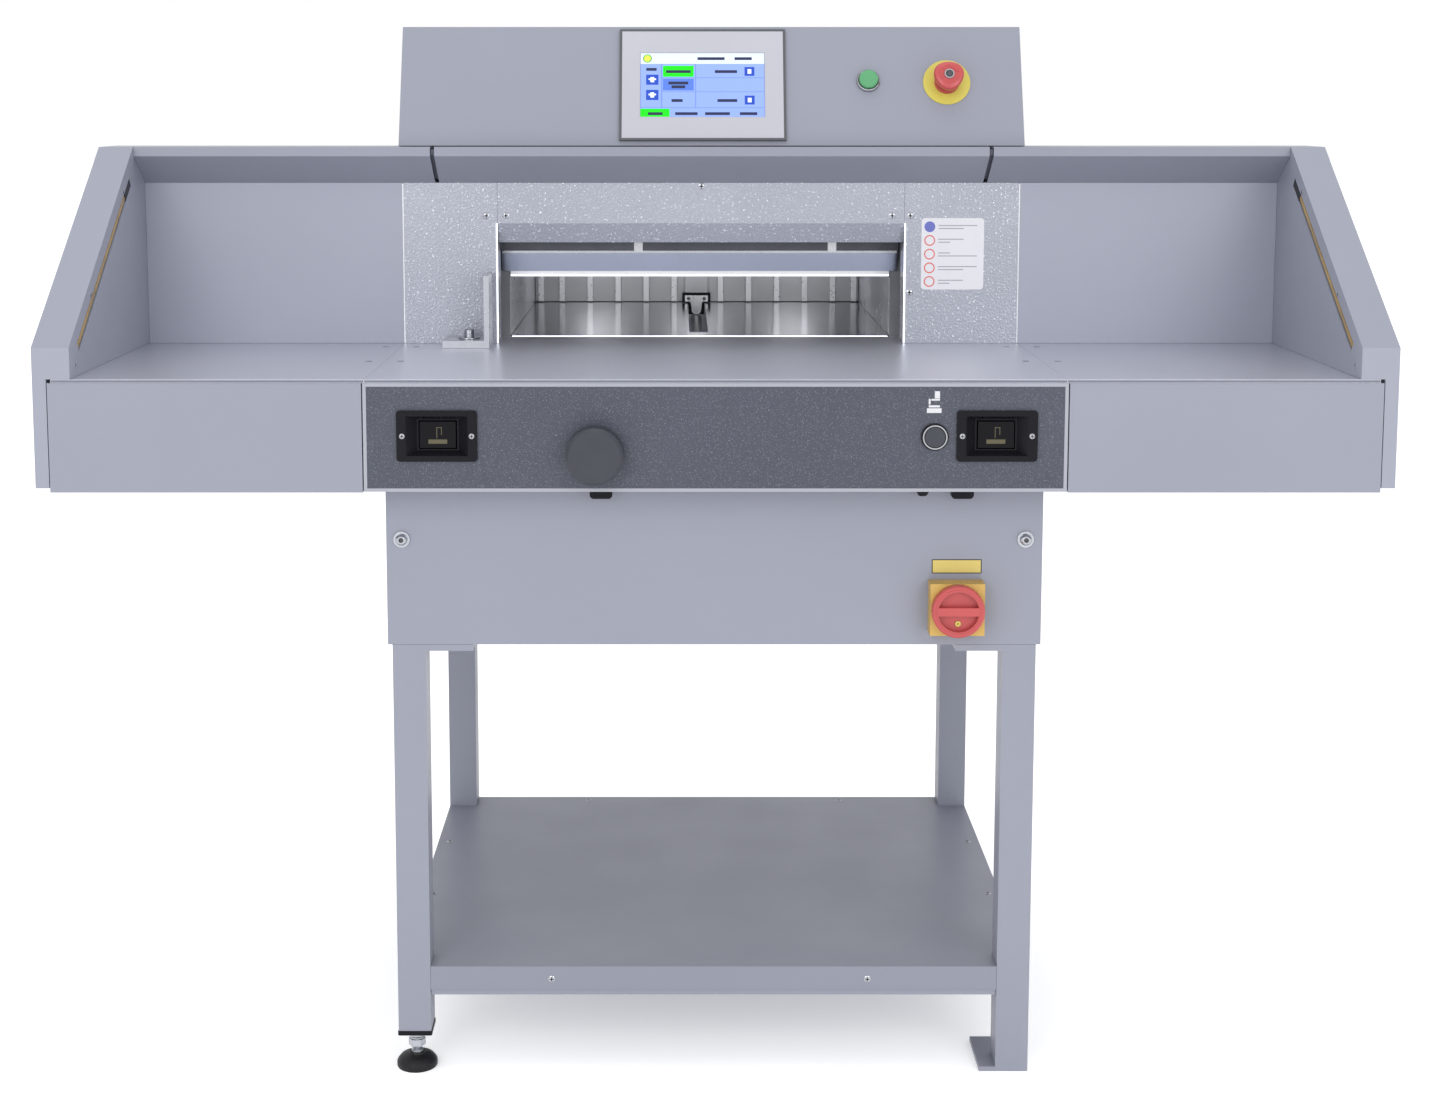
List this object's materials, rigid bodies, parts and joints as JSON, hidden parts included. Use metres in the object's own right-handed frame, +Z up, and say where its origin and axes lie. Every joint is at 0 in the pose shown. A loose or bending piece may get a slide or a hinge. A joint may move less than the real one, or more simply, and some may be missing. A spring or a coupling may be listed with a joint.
{
  "type": "guillotine paper cutter",
  "caption": "Floor-standing electric guillotine paper cutter with side tables, light columns, console, knife, clamp and back gauge.",
  "frame": {"origin": "middle of the bounding box on the floor", "axes": "+Z up, +X to the operator's right, front towards -Y"},
  "size_m": [1.586, 1.04, 1.2884],
  "materials": {
    "paint": "satin fine-texture powder coat",
    "hammered": "hammered metallic paint",
    "fascia": "dark speckled inlay",
    "black_plastic": "moulded",
    "table_steel": "ground and polished",
    "back_steel": "dark brushed",
    "zinc": "zinc plated",
    "cast_frame": "painted casting",
    "knife_steel": "ground tool steel",
    "aluminium": "bare",
    "stick_plastic": "white",
    "panel_plastic": "off-white",
    "screen": "lit display",
    "red_plastic": "semi-gloss",
    "yellow_plastic": "semi-gloss",
    "green_plastic": "semi-gloss",
    "knob_plastic": "fine matt"
  },
  "bodies": {
    "machine": {"apron_left": "paint", "apron_right": "paint", "back_panel_left": "paint", "back_panel_right": "paint", "back_table": "back_steel", "base_cabinet": "paint", "base_front_cover": "paint", "button_bezel_left": "black_plastic", "button_bezel_right": "black_plastic", "cable_gland": "black_plastic", "canopy_left": "paint", "canopy_right": "paint", "centre_hood": "paint", "console_panel": "paint", "console_rear_cover": "paint", "crossbeam": "cast_frame", "cutting_stick": "stick_plastic", "drive_motor": "cast_frame", "fascia_panel": "fascia", "front_beam": "paint", "front_table": "table_steel", "head_cover": "paint", "leg_front_left": "paint", "leg_front_right": "paint", "leg_rear_left": "paint", "leg_rear_right": "paint", "lower_shelf": "paint", "main_switch_body": "yellow_plastic", "portal_panel_left": "hammered", "portal_panel_right": "hammered", "rear_table_cover": "paint", "round_button_ring": "black_plastic", "screen": "screen", "shelf_rail_front": "paint", "shelf_rail_rear": "paint", "side_frame_left": "cast_frame", "side_frame_right": "cast_frame", "side_lay": "zinc", "side_table_left": "table_steel", "side_table_right": "table_steel", "throat_cover": "hammered", "touch_panel": "panel_plastic", "wing_left": "paint", "wing_right": "paint"},
    "knife": {"knife_blade": "knife_steel", "knife_carrier": "cast_frame", "pull_rod": "zinc"},
    "clamp": {"clamp_bar": "aluminium"},
    "back_gauge": {"gauge_face": "cast_frame", "gauge_carriage": "aluminium"},
    "lead_screw": {"lead_screw": "zinc"},
    "crank": {"drive_crank": "zinc"},
    "handwheel": {"handwheel": "knob_plastic"},
    "cut_key_left": {"cut_key_left": "black_plastic"},
    "cut_key_right": {"cut_key_right": "black_plastic"},
    "round_button": {"round_button": "zinc"},
    "start_button": {"start_button": "green_plastic"},
    "estop_button": {"estop_button": "red_plastic"},
    "main_switch_handle": {"main_switch_handle": "red_plastic"},
    "levelling_foot": {"levelling_foot": "zinc"}
  },
  "joints": [
    {"name": "knife_slide", "type": "slide", "parent": "machine", "child": "knife", "axis": [-0.25, 0, -0.9682], "range_m": [0, 0.0919]},
    {"name": "clamp_slide", "type": "slide", "parent": "machine", "child": "clamp", "axis": [0, 0, -1], "range_m": [0, 0.081]},
    {"name": "back_gauge_slide", "type": "slide", "parent": "machine", "child": "back_gauge", "axis": [0, -1, 0], "range_m": [0, 0.42]},
    {"name": "lead_screw_spin", "type": "hinge", "parent": "machine", "child": "lead_screw", "pos_m": [-0.015, 0, 0.843], "axis": [0, 1, 0], "continuous": true},
    {"name": "crank_turn", "type": "hinge", "parent": "machine", "child": "crank", "pos_m": [0.291, -0.062, 0.64], "axis": [0, 1, 0], "range_deg": [0, 180]},
    {"name": "handwheel_turn", "type": "hinge", "parent": "machine", "child": "handwheel", "pos_m": [-0.14, -0.492, 0.783], "axis": [0, 1, 0], "continuous": true},
    {"name": "cut_key_left_press", "type": "slide", "parent": "machine", "child": "cut_key_left", "axis": [0, 1, 0], "range_m": [0, 0.004], "stiffness_N_per_m": 600},
    {"name": "cut_key_right_press", "type": "slide", "parent": "machine", "child": "cut_key_right", "axis": [0, 1, 0], "range_m": [0, 0.004], "stiffness_N_per_m": 600},
    {"name": "round_button_press", "type": "slide", "parent": "machine", "child": "round_button", "axis": [0, 1, 0], "range_m": [0, 0.003], "stiffness_N_per_m": 600},
    {"name": "start_button_press", "type": "slide", "parent": "machine", "child": "start_button", "axis": [0, 0.9285, -0.3714], "range_m": [0, 0.003], "stiffness_N_per_m": 600},
    {"name": "estop_press", "type": "slide", "parent": "machine", "child": "estop_button", "axis": [0, 0.9285, -0.3714], "range_m": [0, 0.006], "stiffness_N_per_m": 600},
    {"name": "main_switch_turn", "type": "hinge", "parent": "machine", "child": "main_switch_handle", "pos_m": [0.2895, -0.4573, 0.5885], "axis": [0, 1, 0], "range_deg": [0, 90]},
    {"name": "levelling_foot_screw", "type": "slide", "parent": "machine", "child": "levelling_foot", "axis": [0, 0, -1], "range_m": [0, 0.012]}
  ],
  "couplings": [
    {"joint": "lead_screw_spin", "follows": "back_gauge_slide", "rad_per_m": 628.32},
    {"joint": "crank_turn", "follows": "knife_slide", "rad_per_m": 34.1}
  ]
}
